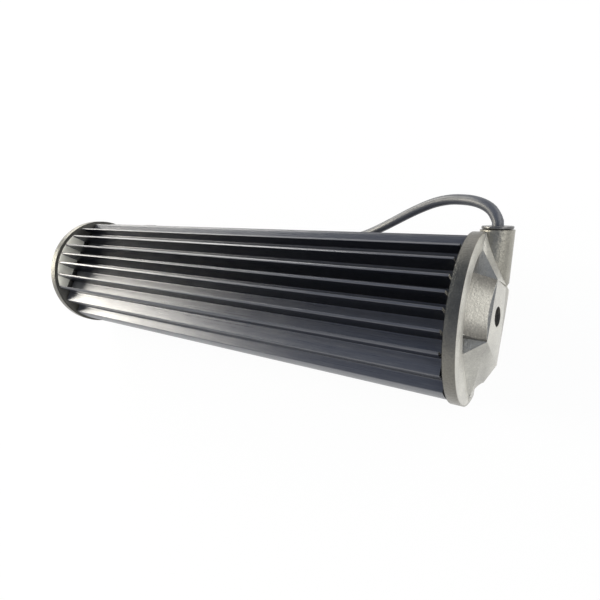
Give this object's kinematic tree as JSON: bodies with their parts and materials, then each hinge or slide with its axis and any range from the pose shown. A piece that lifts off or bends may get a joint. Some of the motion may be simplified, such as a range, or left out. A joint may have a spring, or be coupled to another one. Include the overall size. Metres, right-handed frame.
{
  "type": "led light bar",
  "caption": "Round-backed LED light bar with a finned black housing, flat lens, cast end caps with bolt holes, and a cable gland with a power cord and plug.",
  "frame": {"origin": "in the flat plane that the end caps lie on, lens side down, in the middle of the bar, gland counted in and cord left out", "axes": "+X along the bar towards the end cap with the cable gland, +Y towards the side where the gland opens, +Z from the lens up through the cooling fins"},
  "size_m": [0.3136, 0.0987, 0.064],
  "materials": {
    "housing": "black anodised, satin",
    "end_cap": "die cast, grey powder coat, fine grain",
    "gasket": "matt",
    "lens": "clear polycarbonate",
    "reflector": "bright vacuum coating",
    "led_board": "white solder mask on a metal core",
    "led": "phosphor under a clear dome",
    "board_screw": "zinc plated",
    "cap_screw": "black oxide",
    "driver_board": "green solder mask",
    "ferrite": "dull ferrite drum",
    "capacitor": "printed sleeve, plain",
    "chip": "moulded epoxy",
    "terminal": "moulded nylon",
    "wire_red": "satin insulation",
    "wire_black": "satin insulation",
    "cord_rubber": "satin black jacket",
    "plug_body": "black nylon",
    "plug_seal": "grey silicone",
    "plug_pin": "bare brass"
  },
  "bodies": {
    "root": {"board_screw_1": "board_screw", "board_screw_2": "board_screw", "board_screw_3": "board_screw", "board_screw_4": "board_screw", "board_screw_5": "board_screw", "board_screw_6": "board_screw", "cord_grommet": "cord_rubber", "driver_board": "driver_board", "driver_capacitor_1": "capacitor", "driver_capacitor_2": "capacitor", "driver_chip": "chip", "driver_inductor": "ferrite", "driver_terminal": "terminal", "end_cap_screw_1": "cap_screw", "end_cap_screw_2": "cap_screw", "end_cap_screw_3": "cap_screw", "end_cap_screw_4": "cap_screw", "gland_end_cap": "end_cap", "gland_end_gasket": "gasket", "housing": "housing", "led_01": "led", "led_02": "led", "led_03": "led", "led_04": "led", "led_05": "led", "led_06": "led", "led_07": "led", "led_08": "led", "led_09": "led", "led_10": "led", "led_11": "led", "led_12": "led", "led_13": "led", "led_14": "led", "led_15": "led", "led_16": "led", "led_17": "led", "led_18": "led", "led_19": "led", "led_20": "led", "led_21": "led", "led_22": "led", "led_23": "led", "led_24": "led", "led_board": "led_board", "led_wire_negative": "wire_black", "led_wire_positive": "wire_red", "lens": "lens", "lens_seal": "gasket", "plain_end_cap": "end_cap", "plain_end_gasket": "gasket", "plug_body": "plug_body", "plug_pin_1": "plug_pin", "plug_pin_2": "plug_pin", "plug_seal": "plug_seal", "power_cord": "cord_rubber", "reflector_gland_side": "reflector", "reflector_plain_side": "reflector", "supply_wire_negative": "wire_black", "supply_wire_positive": "wire_red"}
  },
  "joints": []
}
